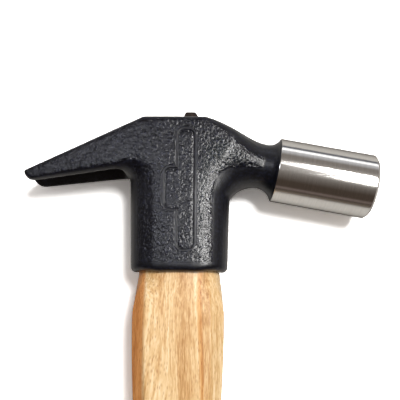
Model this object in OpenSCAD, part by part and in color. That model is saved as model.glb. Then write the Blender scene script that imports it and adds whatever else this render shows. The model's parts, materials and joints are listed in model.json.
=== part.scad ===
// Farrier hammer lying on its side: X runs along the head towards the poll,
// Y up the handle towards the head, Z through its thickness. Y is 0 at the butt.

/* [Head] */
// Height of the head, from the rim of its socket to the flat on top
head_h = 56; // [50:0.5:66]
// Thickness of the head at its cheeks
cheek_t = 27; // [26:0.5:33]
// Distance over which the cheeks stay full, from the handle's axis towards the poll
cheek_full = 12; // [8:0.5:14]
// Width of the socket at its rim
socket_w = 34.6; // [34:0.1:42]
// Draft on each side of the socket, in degrees
socket_draft = 1.8; // [0:0.1:3]
// How square the socket's oval is, where 2 is an ellipse
socket_square = 3; // [2:0.1:4]
// Rise of the rim's arch at the middle of each cheek
rim_arch = 1.6; // [0:0.1:2]
// Rounding round the rim
rim_round = 1.8; // [0.5:0.1:2.5]
// Length of the flat on top, from the handle's axis towards the claw
flat_claw = 13.3; // [11:0.1:16]
// Length of the flat on top, from the handle's axis towards the poll
flat_poll = 8.8; // [6:0.1:11]
// Depth over which the top edges roll into the cheeks
top_roll = 3; // [1.5:0.1:4]

/* [Claw] */
// Reach of the claw, from the handle's axis to its tip
claw_reach = 56.3; // [46:0.1:68]
// Slope of the claw's back, in degrees
claw_slope = 24.8; // [20:0.1:28]
// Slope of the claw's underside, in degrees
under_slope = 6.7; // [2:0.1:12]
// Width of the claw at its tip
claw_tip_w = 17.4; // [14:0.1:22]
// Radius of the blunt nose at the tip
nose_r = 3.9; // [2.5:0.1:5]
// Depth over which the tip's edges roll into its sides
tip_roll = 1.2; // [0.5:0.1:2]
// Radius of the fillet between the claw and the socket
claw_fillet_r = 3.5; // [2:0.1:8]
// Depth over which the claw's lower edges roll into its sides
under_roll = 3.6; // [1.5:0.1:4]
// Length of the notch, from the tip
notch_len = 31; // [22:0.5:33]
// Width of the notch at the tip, on the back
notch_tip_w = 6.4; // [5.6:0.1:8]
// Width of the notch at its root, on the back
notch_root_w = 2.4; // [1.5:0.1:4]
// Distance from the socket's side at which the hollow under the notch ends
hollow_gap = 0.5; // [0.2:0.1:6]
// Width of the land left on each side of that hollow
claw_land = 2.6; // [1.8:0.1:5]

/* [Poll] */
// Diameter of the poll
poll_d = 23.8; // [20:0.1:29]
// Length of the ground poll, from the lacquer's edge to its face
poll_len = 35.6; // [28:0.1:44]
// Chamfer round the striking face
face_chamfer = 0.9; // [0.3:0.1:2]
// Tilt of the poll below square, in degrees
poll_tilt = 10; // [0:0.1:14]
// Length of the neck, from the socket's side to the poll's back edge
neck_run = 16.8; // [14.5:0.1:22]
// Drop of the poll's back edge below the flat on top, at its centre
poll_drop = 17.8; // [16:0.1:21]
// Diameter of the neck at its narrowest
neck_d = 16.7; // [14:0.1:20]
// Height of the neck's centre above the poll's axis
neck_lift = 0.45; // [0:0.05:1]
// Hollow of the shoulder between the flat on top and the neck, as a share of its length
shoulder_hollow = 0.12; // [0:0.01:0.25]
// Radius of the flare from the neck out to the poll
flare_r = 5.5; // [4:0.1:9]
// Radius of the arch under the neck
arch_r = 10; // [7:0.1:10.8]
// Angle at which that arch meets the socket, in degrees
arch_turn = 30; // [10:1:45]

/* [Panel] */
// Width of the bare panel sunk in each cheek
panel_w = 6; // [6:0.1:8]
// Distance of the panel's middle from the handle's axis, towards the poll
panel_x = 2.3; // [0:0.1:4]
// Height of the panel's lower end above the rim
panel_up = 7.7; // [5:0.1:12]
// Distance of the panel's upper end below the flat on top
panel_down = 6; // [5:0.1:12]
// Reach of the panel's wider part towards the claw, from the panel's middle
panel_reach = 7.6; // [6.5:0.1:9]
// Height of that part's lower end above the rim
panel_part_up = 21.5; // [18:0.1:24]
// Length of that part
panel_part_len = 14.7; // [8:0.1:18]
// Rounding of the panel's corners
panel_corner = 2.4; // [1:0.1:2.8]
// Depth of the panel below the cheek
panel_sink = 0.4; // [0.1:0.05:0.8]

/* [Eye] */
// Width of the eye at the rim
mouth_w = 28.9; // [26:0.1:31]
// Thickness of the eye at the rim
mouth_t = 20.8; // [18:0.1:22]
// Width of the eye at its waist
waist_w = 21.8; // [19:0.1:25]
// Thickness of the eye at its waist
waist_t = 15.4; // [13:0.1:18]
// Height of the waist above the rim
waist_up = 38; // [28:1:44]
// Amount by which the eye flares again from the waist to the top
eye_flare = 1.4; // [0:0.1:3]
// How square the eye's oval is, where 2 is an ellipse
eye_square = 2.3; // [2:0.1:3]
// Gap left all round the tenon
handle_fit = 0.08; // [0.03:0.01:0.3]

/* [Handle] */
// Length of the handle, from its butt to the socket's rim
handle_len = 282; // [230:1:340]
// Width of the shoulder below the socket
shoulder_w = 31.8; // [30:0.1:38]
// Thickness of the shoulder
shoulder_t = 22.8; // [21:0.1:28]
// Length over which the shoulder rounds down into the socket
shoulder_len = 15; // [8:1:25]
// Width of the shaft where it is slimmest
slim_w = 25.4; // [21:0.1:31]
// Thickness of the shaft there
slim_t = 19.4; // [16:0.1:24]
// Distance of the slimmest place below the rim
slim_down = 95; // [70:1:110]
// Width of the grip
grip_w = 30.6; // [26:0.1:37]
// Thickness of the grip
grip_t = 23.4; // [20:0.1:29]
// Height of the fullest part of the grip above the butt
grip_up = 62; // [40:1:90]
// Width of the butt
butt_w = 28.8; // [24:0.1:35]
// Thickness of the butt
butt_t = 22.2; // [19:0.1:27]
// Corner cut off each side of the octagonal shaft
corner_cut = 4.7; // [3:0.1:5.5]
// Rounding of each arris of the octagon
arris = 1; // [0.4:0.1:1.5]
// Chamfer round the butt
butt_chamfer = 2.2; // [1:0.1:4]
// Distance of the tenon's end below the flat on top
tenon_sunk = 0.7; // [0:0.1:2]

/* [Wedges] */
// Depth of the timber wedge in the tenon
timber_depth = 38; // [28:1:42]
// Thickness of the timber wedge at its top
timber_top = 3.2; // [2.5:0.1:4]
// Thickness of the timber wedge at its thin end
timber_thin = 0.9; // [0.6:0.1:1.5]
// Depth of each steel wedge below the flat on top
steel_depth = 19; // [12:1:25]
// Thickness of each steel wedge at its top
steel_top = 5.2; // [3:0.1:6]
// Thickness of each steel wedge at its thin end
steel_thin = 1.1; // [0.6:0.1:2]
// Wood left beyond each end of a steel wedge, at the eye's waist
steel_side = 1.7; // [1:0.1:3]
// Amount by which the wedge nearer the poll stands proud of the flat
steel_proud = 2.6; // [0:0.1:3.2]
// Place of the wedge nearer the poll, from the handle's axis
steel_x = 4; // [3.6:0.1:6]
// Bevel that the hammer blows left on the proud wedge
steel_bevel = 0.9; // [0.2:0.1:1.2]
// Gap left round each wedge
wedge_fit = 0.05; // [0.02:0.01:0.2]

/* [Hidden] */

steel_black = "#2b2c30";
steel_rust = "#54463d";
oak = "#e6bb80";
oak_dark = "#b98a55";

// Share of a roll's depth at each ring of points, from the outline inwards
roll_steps = [0, 0.006, 0.04, 0.12, 0.25, 0.45, 0.7, 1];
// Points across the flat between two rolls
flat_steps = 4;
// Places across the socket, as a share of its half width
across = [-1, -0.997, -0.98, -0.95, -0.9, -0.84, -0.77, -0.7, -0.5, -0.25, 0, 0.25,
          0.45, 0.57, 0.68, 0.78, 0.87, 0.93, 0.97, 0.993, 1];
// Index in that list of the two ends of the flat on top
flat_ends = [-0.7, 0.45];
// Levels between the belt and the rim, and steps round the rim's rounding
level_steps = [0.25, 0.5, 0.75];
rim_steps = [1, 0.6, 0.3, 0.08, 0];
// Squareness of the rolls along the claw and the top, and of the round neck
claw_square = 3.5;
top_square = 3;
round_square = 2;
// Ribs round the nose, along the claw's underside, round its fillet and round the arch
nose_ribs = 6;
under_ribs = 9;
fillet_ribs = 9;
arch_ribs = 9;
// Share of a step at which the first rib of the nose stands, and of the arch that has ribs
nose_start = 0.12;
arch_share = 0.94;
// Most of a rib's length that the points at either end take up
cluster_share = 0.45;
// Rate at which the roll under the claw grows from the tip
under_growth = 1.5;
// Height over which the cheek's fullness gives way to the neck's, and how far that
// height leans towards the poll
neck_rise = 10;
neck_lean = 0.8;
// Share of a claw's taper over which it eases into the cheek
cheek_ease = 0.25;
// Step from the flare up to the ground poll, and how far the flare runs into it
ring_step = 0.2;
flare_past = 1.05;
flare_ribs = 7;
// Length that a cutter runs past the metal
past = 3;
round_fn = 96;
// Power of the rim's arch, which is flatter in the middle than a parabola
arch_power = 3;

// Height of the notch's cutter above the claw's back, its least half width there,
// and the facets, reach and squareness of the round at its root
notch_past = 0.8;
notch_least = 0.3;
root_steps = 10;
hollow_reach = 5;
hollow_square = 4;

function mix(a, b, t) = a + (b - a) * t;
function clamp01(t) = min(1, max(0, t));
function smooth(t) = t * t * (3 - 2 * t);
function soft_min(a, b, k) =
    let (h = clamp01(0.5 + 0.5 * (b - a) / k))
    mix(b, a, h) - k * h * (1 - h);
function reversed(list) = [for (i = [len(list) - 1:-1:0]) list[i]];

// Fullness of a roll, from 0 at the outline to 1 where the flat begins
function roll(depth, extent, square) =
    depth <= 0 ? 0 :
    depth >= extent ? 1 :
    pow(1 - pow(1 - depth / extent, square), 1 / square);

// Half width of the socket's outline at a height above the rim
function side(y) = socket_w / 2 + y * tan(socket_draft);

// Claw: its top corner, the centre of the nose and the line of the underside
tip = [-claw_reach, head_h - (claw_reach - flat_claw) * tan(claw_slope)];
nose = [tip.x + nose_r, tip.y];
under_out = [sin(under_slope), -cos(under_slope)];
nose_end = nose + nose_r * under_out;
function under_y(x) = nose_end.y + (x - nose_end.x) * tan(under_slope);
fillet_guess = under_y(-side(head_h / 2) - claw_fillet_r) - claw_fillet_r;
fillet_x = -side(fillet_guess) - claw_fillet_r;
fillet = [fillet_x, under_y(fillet_x) - claw_fillet_r / cos(under_slope)];
fillet_sweep = 90 + under_slope;

// Poll and neck, along an axis that tilts down from the head
neck_r = neck_d / 2;
poll_r = poll_d / 2;
along = [cos(poll_tilt), -sin(poll_tilt)];
square_to = [sin(poll_tilt), cos(poll_tilt)];
ring = [side(head_h - poll_drop) + neck_run, head_h - poll_drop];
flare_len = sqrt(pow(flare_r, 2) - pow(flare_r - poll_r + neck_r, 2));
neck_end = ring - flare_len * along + neck_lift * square_to;
neck_top = neck_end + neck_r * square_to;
neck_low = neck_end - neck_r * square_to;

// Arch under the neck, and the corner where it meets the socket
arch_x = side(head_h / 2) + arch_r * cos(arch_turn);
arch = [arch_x, neck_low.y + (neck_low.x - arch_x) * tan(poll_tilt) - arch_r / cos(poll_tilt)];
corner = arch + arch_r * [-cos(arch_turn), sin(arch_turn)];
corner_angle = 180 - arch_turn;
arch_end_angle = 90 - poll_tilt;

// Height of the outline's top at a place along the head
function shoulder_y(x) =
    let (run = neck_top.x - flat_poll,
         t = clamp01((x - flat_poll) / run),
         fall = head_h - neck_top.y)
    head_h - fall * smooth(t)
    - run * shoulder_hollow * t * pow(1 - t, 2)
    + run * tan(poll_tilt) * pow(t, 2) * (1 - t);
function top_y(x) =
    x < -flat_claw ? head_h + (x + flat_claw) * tan(claw_slope) :
    x < flat_poll ? head_h :
    shoulder_y(x);

// Share of the way along the claw, from its tip to the cheek
function claw_share(x) = (x + claw_reach) / (claw_reach - flat_claw);

// Lower outline on the claw's side: a point's distance from it, and the extent
// and squareness of the roll there, which grow from the claw to the socket
function claw_edge(p) =
    let (v = p - fillet,
         w = p - nose,
         a = atan2(v.y, v.x),
         over = mix(tip_roll, under_roll, clamp01(under_growth * claw_share(p.x))),
         beside = smooth(1 - a / fillet_sweep))
    v.y < 0 ? [p.x + side(p.y), side(p.y), socket_square] :
    a < fillet_sweep ? [norm(v) - claw_fillet_r, mix(over, side(p.y), beside), mix(claw_square, socket_square, beside)] :
    w * [cos(under_slope), sin(under_slope)] > 0 ? [-v * under_out - claw_fillet_r, over, claw_square] :
    [nose_r - norm(w), over, claw_square];

// The same on the poll's side, where the roll ends as the round neck
function poll_edge(p) =
    let (v = p - arch,
         a = atan2(v.y, v.x),
         under = smooth(clamp01((corner_angle - a) / (corner_angle - arch_end_angle))))
    p.y < corner.y ? [side(p.y) - p.x, side(p.y), socket_square] :
    a > corner_angle ? [norm(p - corner), side(p.y), socket_square] :
    a > arch_end_angle ? [norm(v) - arch_r, mix(side(p.y), neck_r, under), mix(socket_square, round_square, under)] :
    [v * square_to - arch_r, neck_r, round_square];

// Half thickness of the head before its edges roll
function fullness(p) =
    let (taper = mix(claw_tip_w / 2, cheek_t / 2, soft_min(claw_share(p.x), 1, cheek_ease)),
         out = clamp01((p.x - cheek_full) / (neck_end.x - cheek_full)),
         up = clamp01((p.y - corner.y + neck_lean * max(0, p.x - corner.x)) / neck_rise))
    taper - (cheek_t / 2 - neck_r) * smooth(out) * smooth(up);

// Half thickness of the head at a point of its side view, where round is the
// share of the way to the round neck
top_probe = 0.05;
function height(p, round) =
    let (c = claw_edge(p),
         q = poll_edge(p),
         slope = atan((top_y(p.x + top_probe) - top_y(p.x)) / top_probe),
         top_extent = mix(tip_roll, top_roll, clamp01(claw_share(p.x))))
    fullness(p)
    * roll(c[0], c[1], c[2])
    * roll(q[0], q[1], q[2])
    * roll((top_y(p.x) - p.y) * cos(slope), mix(top_extent, neck_r, round), mix(top_square, round_square, round));

// Belt across the block, from the fillet to the arch's corner
belt_left = [-side(fillet.y), fillet.y];
function belt(u) =
    let (y = mix(belt_left.y, corner.y, (u + 1) / 2))
    [u * side(y), y];

// Ribs of the side view, each as its lower end, its upper end, the extent of
// its lower cluster of points and its share of the way to the round neck
function top_at(x) = [x, top_y(x)];
nose_top_x = nose.x + nose_r / 2;
fillet_top_x = fillet.x - claw_fillet_r;
nose_rib = [for (i = [0:nose_ribs - 1])
    let (t = (i + nose_start) / nose_ribs, a = mix(180, 270 + under_slope, t))
    [nose + nose_r * [cos(a), sin(a)], top_at(mix(tip.x, nose_top_x, pow(t, 2))), under_roll, 0]];
under_rib = [for (i = [0:under_ribs - 1])
    let (t = i / under_ribs, x = mix(nose_end.x, fillet.x, t))
    [[x, under_y(x)], top_at(mix(nose_top_x, fillet_top_x, t)), under_roll, 0]];
fillet_rib = [for (i = [0:fillet_ribs - 1])
    let (t = i / fillet_ribs, a = mix(fillet_sweep, 0, t))
    [fillet + claw_fillet_r * [cos(a), sin(a)], top_at(mix(fillet_top_x, belt_left.x, t)), mix(under_roll, neck_rise, t), 0]];
block_rib = [for (u = across)
    let (top_x = lookup(u, [[-1, belt_left.x], [flat_ends[0], -flat_claw],
                            [flat_ends[1], flat_poll], [1, corner.x]]))
    [belt(u), top_at(top_x), neck_rise, clamp01((top_x - flat_poll) / (neck_top.x - flat_poll))]];
arch_rib = [for (i = [1:arch_ribs])
    let (t = arch_share * i / arch_ribs,
         a = mix(corner_angle, arch_end_angle, t),
         top_x = mix(corner.x, neck_top.x, t))
    [arch + arch_r * [cos(a), sin(a)], top_at(top_x), neck_r, (top_x - flat_poll) / (neck_top.x - flat_poll)]];
ribs = concat(nose_rib, under_rib, fillet_rib, block_rib, arch_rib);
first_block = nose_ribs + under_ribs + fillet_ribs;

// Stations along one rib, as shares of its length
function rib_stations(rib) =
    let (length = norm(rib[1] - rib[0]),
         low = min(rib[2], cluster_share * length) / length,
         high = min(mix(top_roll, neck_r, rib[3]), cluster_share * length) / length)
    concat([for (s = roll_steps) s * low],
           [for (i = [1:flat_steps]) mix(low, 1 - high, i / (flat_steps + 1))],
           [for (s = reversed(roll_steps)) 1 - s * high]);
rib_points = 2 * len(roll_steps) + flat_steps;

// Flare from the round neck out to the poll, as rings that end just inside it
flare_points = [for (i = [0:flare_ribs], j = [0:rib_points - 1])
    let (t = flare_past * sin(90 * i / flare_ribs),
         rise = flare_r - sqrt(max(0, pow(flare_r, 2) - pow(flare_len * t, 2))),
         r = min(neck_r + rise, poll_r - ring_step),
         a = 180 * j / (rib_points - 1),
         p = mix(neck_end, ring, t) - r * cos(a) * square_to)
    [p.x, p.y, j == 0 || j == rib_points - 1 ? 0 : r * sin(a)]];
ring_count = len(ribs) + flare_ribs + 1;

bar_points = concat(
    [for (i = [0:len(ribs) - 1], s = rib_stations(ribs[i]))
        let (p = mix(ribs[i][0], ribs[i][1], s),
             open = i > first_block && i < first_block + len(across) - 1)
        [p.x, p.y, s == 1 || (s == 0 && !open) ? 0 : height(p, ribs[i][3])]],
    flare_points);

// Rim of the socket, arched over the cheeks and rounded all the way round
function rim_y(u) = rim_arch * (1 - pow(abs(u), arch_power));
function socket_oval(u) = pow(1 - pow(abs(u), socket_square), 1 / socket_square);
socket_points = [for (u = across)
    let (start = belt(u), rim = rim_y(u))
    each concat(
        [for (s = level_steps)
            let (y = mix(start.y, rim + rim_round, s))
            [u * side(y), y, height([u * side(y), y], 0)]],
        [for (s = rim_steps)
            let (y = rim + rim_round * s, inset = rim_round * (1 - sqrt(1 - pow(1 - s, 2))))
            [u * (side(y) - inset), y, (cheek_t / 2 - inset) * socket_oval(u)]])];
socket_rows = len(level_steps) + len(rim_steps);

// Faces of one half, wound clockwise seen from outside
function quad(a, b, c, d) = [[a, b, c], [a, c, d]];
function bar_at(i, j) = i * rib_points + j;
function socket_at(c, k) =
    k == 0 ? bar_at(first_block + c, 0) :
    len(bar_points) + c * socket_rows + k - 1;
half_faces = concat(
    [for (i = [0:ring_count - 2], j = [0:rib_points - 2])
        each quad(bar_at(i, j), bar_at(i, j + 1), bar_at(i + 1, j + 1), bar_at(i + 1, j))],
    [for (c = [0:len(across) - 2], k = [0:socket_rows - 1])
        each quad(socket_at(c, k), socket_at(c + 1, k), socket_at(c + 1, k + 1), socket_at(c, k + 1))]);
half_points = concat(bar_points, socket_points);

// The far half shares the points of the parting line
function far(i) = half_points[i].z == 0 ? i : i + len(half_points);

// Fan from a centre point round the closed outline of an end
function fan(centre, loop) = [for (i = [0:len(loop) - 1]) [centre, loop[i], loop[(i + 1) % len(loop)]]];
function rib_loop(i) = concat(
    [for (j = [0:rib_points - 1]) bar_at(i, j)],
    [for (j = [rib_points - 2:-1:1]) far(bar_at(i, j))]);
last_ring = ring_count - 1;
centre_of_tip = 2 * len(half_points);
centre_of_ring = centre_of_tip + 1;
rim_faces = [for (c = [0:len(across) - 2])
    let (a = socket_at(c, socket_rows), b = socket_at(c + 1, socket_rows))
    each quad(a, b, far(b), far(a))];
forging_faces = concat(
    half_faces,
    [for (f = half_faces) [far(f[2]), far(f[1]), far(f[0])]],
    fan(centre_of_tip, reversed(rib_loop(0))),
    fan(centre_of_ring, rib_loop(last_ring)),
    rim_faces);
function middle(a, b) = [(a.x + b.x) / 2, (a.y + b.y) / 2, 0];

module forging() {
    polyhedron(
        points = concat(
            half_points,
            [for (p = half_points) [p.x, p.y, -p.z]],
            [middle(bar_points[0], bar_points[rib_points - 1]),
             middle(bar_points[bar_at(last_ring, 0)], bar_points[bar_at(last_ring, rib_points - 1)])]),
        faces = [for (f = forging_faces) if (f[0] != f[1] && f[1] != f[2] && f[2] != f[0]) f],
        convexity = 6);
}

// Ground poll, turned about the tilted axis
module turned_poll() {
    translate(ring)
        rotate([0, 90, -poll_tilt])
            rotate_extrude($fn = round_fn)
                polygon([[0, 0], [poll_r, 0], [poll_r, poll_len - face_chamfer],
                         [poll_r - face_chamfer, poll_len], [0, poll_len]]);
}

// Quarter of an oval at fixed angles, so that ovals and octagons share points
quarter_angles = [0, 20, 27, 34, 41, 48, 55, 62, 76, 90];
function quarter_oval(a, b, square) = [for (t = quarter_angles)
    [a * pow(cos(t), 2 / square), b * pow(sin(t), 2 / square)]];
function quarter_octagon(a, b) =
    let (low = [a, b - corner_cut],
         high = [a - corner_cut, b],
         cut = (high - low) / norm(high - low))
    [[a, 0],
     low - [0, arris],
     low - [0, arris] / 4 + cut * arris / 4,
     low + cut * arris,
     (low + high) / 2,
     high - cut * arris,
     high - cut * arris / 4 - [arris, 0] / 4,
     high - [arris, 0],
     [high.x / 2, b],
     [0, b]];
function all_round(q) = concat(
    q,
    [for (i = [8:-1:0]) [-q[i].x, q[i].y]],
    [for (i = [1:9]) [-q[i].x, -q[i].y]],
    [for (i = [8:-1:1]) [q[i].x, -q[i].y]]);

// Skin over rings of equal point counts, which run round the Y axis and are in order along it
function middle_of(ring) = [for (p = ring) 1] * ring / len(ring);
module skin(rings) {
    n = len(rings[0]);
    count = len(rings);
    last = (count - 1) * n;
    polyhedron(
        points = concat([for (r = rings) each r], [middle_of(rings[0]), middle_of(rings[count - 1])]),
        faces = concat(
            fan(count * n, [for (i = [n - 1:-1:0]) i]),
            [for (k = [0:count - 2], i = [0:n - 1])
                let (a = k * n + i, b = k * n + (i + 1) % n)
                each quad(a, b, b + n, a + n)],
            fan(count * n + 1, [for (i = [0:n - 1]) last + i])),
        convexity = 4);
}

// Eased value at y along a list of [place, value] knots
function eased(y, knots, i = 0) =
    i == len(knots) - 1 || y <= knots[0][0] ? knots[i][1] :
    y < knots[i + 1][0] ?
        mix(knots[i][1], knots[i + 1][1], smooth((y - knots[i][0]) / (knots[i + 1][0] - knots[i][0]))) :
    eased(y, knots, i + 1);

// Eye: half width and half thickness at a height above the rim
eye_knots_w = [[0, mouth_w / 2], [waist_up, waist_w / 2], [head_h, (waist_w + eye_flare) / 2]];
eye_knots_t = [[0, mouth_t / 2], [waist_up, waist_t / 2], [head_h, (waist_t + eye_flare) / 2]];
eye_levels = 12;
function eye_ring(y, at, gap) = [for (p = all_round(quarter_oval(
        eased(y, eye_knots_w) - gap, eased(y, eye_knots_t) - gap, eye_square)))
    [p.x, at, p.y]];
module eye(gap, from, to) {
    skin(concat(
        [eye_ring(0, from, gap)],
        [for (i = [0:eye_levels]) eye_ring(head_h * i / eye_levels, head_h * i / eye_levels, gap)],
        [eye_ring(head_h, to, gap)]));
}

// Notch of the claw: a V on the back, whose bevels open it to a hollow underneath.
// Each ring of the cutter is the notch's outline just clear of one face of the claw.
function back_half(x) = mix(notch_tip_w, notch_root_w, (x - tip.x) / notch_len) / 2;
function hollow_half(x) = fullness([x, under_y(x)]) - claw_land;
function notch_slant(x) = (hollow_half(x) - back_half(x)) / (top_y(x) - under_y(x));
function under_point(x, share) = [x, under_y(x) - past, share * (hollow_half(x) + past * notch_slant(x))];
function back_point(x, share) =
    [x, top_y(x) + notch_past, share * max(notch_least, back_half(x) - notch_past * notch_slant(x))];
root_angles = [for (i = [0:root_steps]) 180 * i / root_steps - 90];
function round_root(a, square) =
    [pow(cos(a), 2 / square), sign(a) * pow(abs(sin(a)), 2 / square)];
module notch() {
    back_reach = notch_root_w / 2;
    back_x = tip.x + notch_len - back_reach;
    under_x = -side(under_y(-socket_w / 2)) - hollow_gap - hollow_reach;
    mouth_x = tip.x - past;
    skin([
        concat([for (a = root_angles)
                   let (r = round_root(a, hollow_square), p = under_point(under_x, r[1]))
                   [p.x + r[0] * hollow_reach, under_y(p.x + r[0] * hollow_reach) - past, p.z]],
               [under_point(mouth_x, 1), under_point(mouth_x, -1)]),
        concat([for (a = root_angles)
                   let (r = round_root(a, round_square), p = back_point(back_x, r[1]))
                   [p.x + r[0] * back_reach, top_y(p.x + r[0] * back_reach) + notch_past, p.z]],
               [back_point(mouth_x, 1), back_point(mouth_x, -1)])]);
}

// Bare panel, sunk in both cheeks: a long frame, wider for a part of its length
module rounded(low, size) {
    inner = size - 2 * [panel_corner, panel_corner];
    translate(low + [panel_corner, 0])
        square([inner.x, size.y]);
    translate(low + [0, panel_corner])
        square([size.x, inner.y]);
    for (x = [0, inner.x], y = [0, inner.y])
        translate(low + [panel_corner + x, panel_corner + y])
            circle(r = panel_corner, $fn = round_fn / 2);
}
module panels() {
    for (m = [0, 1])
        mirror([0, 0, m])
            translate([panel_x, 0, cheek_t / 2 - panel_sink])
                linear_extrude(past) {
                    rounded([-panel_w / 2, panel_up], [panel_w, head_h - panel_up - panel_down]);
                    rounded([-panel_reach, panel_part_up], [panel_reach + panel_w / 2, panel_part_len]);
                }
}

module head() {
    color(steel_black)
        translate([0, handle_len, 0])
            difference() {
                union() {
                    forging();
                    turned_poll();
                }
                eye(0, -past, head_h + past);
                notch();
                panels();
            }
}

// Handle: half sizes at a height above the rim, below zero outside the socket
shoulder_down = -shoulder_len;
butt_down = -handle_len;
handle_knots_w = [[butt_down, butt_w / 2], [butt_down + grip_up, grip_w / 2],
                  [-slim_down, slim_w / 2], [shoulder_down, shoulder_w / 2]];
handle_knots_t = [[butt_down, butt_t / 2], [butt_down + grip_up, grip_t / 2],
                  [-slim_down, slim_t / 2], [shoulder_down, shoulder_t / 2]];
function shaft_half(y, knots, mouth) =
    y < shoulder_down ? eased(y, knots) :
    mix(mouth, eased(shoulder_down, knots), sin(90 * y / shoulder_down));

// Ring of the shaft, which turns from an octagon into the oval of the tenon
function shaft_ring(y, inset = 0) =
    let (a = shaft_half(y, handle_knots_w, mouth_w / 2 - handle_fit) - inset,
         b = shaft_half(y, handle_knots_t, mouth_t / 2 - handle_fit) - inset,
         oval = all_round(quarter_oval(a, b, eye_square)),
         eight = all_round(quarter_octagon(a, b)),
         t = sin(90 * clamp01(y / shoulder_down)))
    [for (i = [0:len(oval) - 1])
        let (p = mix(oval[i], eight[i], t))
        [p.x, y, p.y]];

shaft_levels = 30;
shoulder_levels = 6;
tenon_end = head_h - tenon_sunk;
module blank() {
    skin(concat(
        [shaft_ring(butt_down, butt_chamfer)],
        [for (i = [0:shaft_levels - 1])
            shaft_ring(mix(butt_down + butt_chamfer, shoulder_down, i / shaft_levels))],
        [for (i = [0:shoulder_levels]) shaft_ring(mix(shoulder_down, 0, i / shoulder_levels))],
        [for (i = [1:eye_levels - 1]) eye_ring(head_h * i / eye_levels, head_h * i / eye_levels, handle_fit)],
        [eye_ring(tenon_end, tenon_end, handle_fit)]));
}

// Side view of a wedge that is grown by a gap all round and cut off at a height
module wedge_outline(thin, thick, depth, gap, top) {
    foot = head_h - depth - gap;
    foot_half = thin / 2 + gap;
    top_half = foot_half + (thick - thin) / 2 * (top - foot) / depth;
    polygon([[-foot_half, foot], [foot_half, foot], [top_half, top], [-top_half, top]]);
}

// Timber wedge, which lies along the eye
module timber_blank(gap, top) {
    translate([-mouth_w, 0, 0])
        rotate([0, 90, 0])
            linear_extrude(2 * mouth_w)
                wedge_outline(timber_thin, timber_top, timber_depth, gap, top);
}

// Steel wedge, which lies across the eye
steel_w = waist_t - 2 * steel_side;
module steel_blank(x, gap, top) {
    translate([x, 0, -steel_w / 2 - gap])
        linear_extrude(steel_w + 2 * gap)
            wedge_outline(steel_thin, steel_top, steel_depth, gap, top);
}

module handle() {
    color(oak)
        translate([0, handle_len, 0])
            difference() {
                blank();
                timber_blank(wedge_fit, head_h + past);
                for (x = [steel_x, -steel_x])
                    steel_blank(x, wedge_fit, head_h + past);
            }
}

module timber_wedge() {
    color(oak_dark)
        translate([0, handle_len, 0])
            difference() {
                intersection() {
                    timber_blank(0, tenon_end);
                    eye(handle_fit, -past, head_h + past);
                }
                for (x = [steel_x, -steel_x])
                    steel_blank(x, wedge_fit, head_h + past);
            }
}

// Wedge that stands proud, bevelled by the blows that drove it: its top keeps the
// bevel on the claw's side, and the other side slopes from just above the flat
struck_low = 0.4;
struck_in = 1.7;
struck_deep = 1.2;
struck_spread = 1.1;
module steel_wedge_poll_side() {
    top = head_h + steel_proud;
    half = steel_top / 2 * struck_spread;
    color(steel_rust)
        translate([0, handle_len, 0])
            intersection() {
                steel_blank(steel_x, 0, top);
                translate([steel_x, 0, -steel_w / 2])
                    linear_extrude(steel_w)
                        polygon([[-half, 0], [half, 0], [half, head_h + struck_low],
                                 [half - struck_in * steel_bevel, top], [steel_bevel - half, top],
                                 [-half, top - struck_deep * steel_bevel]]);
            }
}

module steel_wedge_claw_side() {
    color(steel_rust)
        translate([0, handle_len, 0])
            steel_blank(-steel_x, 0, tenon_end);
}

head();
handle();
timber_wedge();
steel_wedge_poll_side();
steel_wedge_claw_side();
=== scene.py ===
import json
import math

import bmesh
import bpy
import numpy as np
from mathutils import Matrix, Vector


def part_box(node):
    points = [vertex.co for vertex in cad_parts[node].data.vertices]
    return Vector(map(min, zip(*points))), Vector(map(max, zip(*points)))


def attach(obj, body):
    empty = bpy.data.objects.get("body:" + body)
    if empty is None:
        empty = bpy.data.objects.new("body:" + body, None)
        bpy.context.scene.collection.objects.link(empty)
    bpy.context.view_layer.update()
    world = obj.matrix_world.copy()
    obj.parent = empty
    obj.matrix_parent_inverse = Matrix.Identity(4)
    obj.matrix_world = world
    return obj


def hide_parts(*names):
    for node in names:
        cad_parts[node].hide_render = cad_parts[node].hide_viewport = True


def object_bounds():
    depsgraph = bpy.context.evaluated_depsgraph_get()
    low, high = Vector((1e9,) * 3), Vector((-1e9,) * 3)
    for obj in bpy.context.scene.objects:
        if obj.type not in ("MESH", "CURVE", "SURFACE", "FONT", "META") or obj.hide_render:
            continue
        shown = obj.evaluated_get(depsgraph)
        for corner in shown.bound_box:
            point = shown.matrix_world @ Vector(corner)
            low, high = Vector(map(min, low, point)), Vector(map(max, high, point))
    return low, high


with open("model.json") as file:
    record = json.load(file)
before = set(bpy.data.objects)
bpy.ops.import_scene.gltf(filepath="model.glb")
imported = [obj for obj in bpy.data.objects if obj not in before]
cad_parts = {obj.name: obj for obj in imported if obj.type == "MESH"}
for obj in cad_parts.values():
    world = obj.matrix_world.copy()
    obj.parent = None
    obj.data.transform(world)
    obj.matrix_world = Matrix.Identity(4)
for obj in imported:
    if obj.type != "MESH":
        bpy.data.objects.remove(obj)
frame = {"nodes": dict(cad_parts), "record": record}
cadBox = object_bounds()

scene = bpy.context.scene
mm = 0.001
joinNear = 0.002 * mm  # points nearer than this are one point
farOff = 99.0  # in mm, for a point that is nowhere near what is measured
noiseLow, noiseHigh = 0.3, 0.7  # a noise texture seldom leaves this range


# Colours are written as sRGB hex and turned linear here
def hexToLinear(code):
    def channel(pair):
        c = int(pair, 16) / 255
        return c / 12.92 if c <= 0.04045 else ((c + 0.055) / 1.055) ** 2.4
    return (channel(code[1:3]), channel(code[3:5]), channel(code[5:7]), 1.0)


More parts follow.
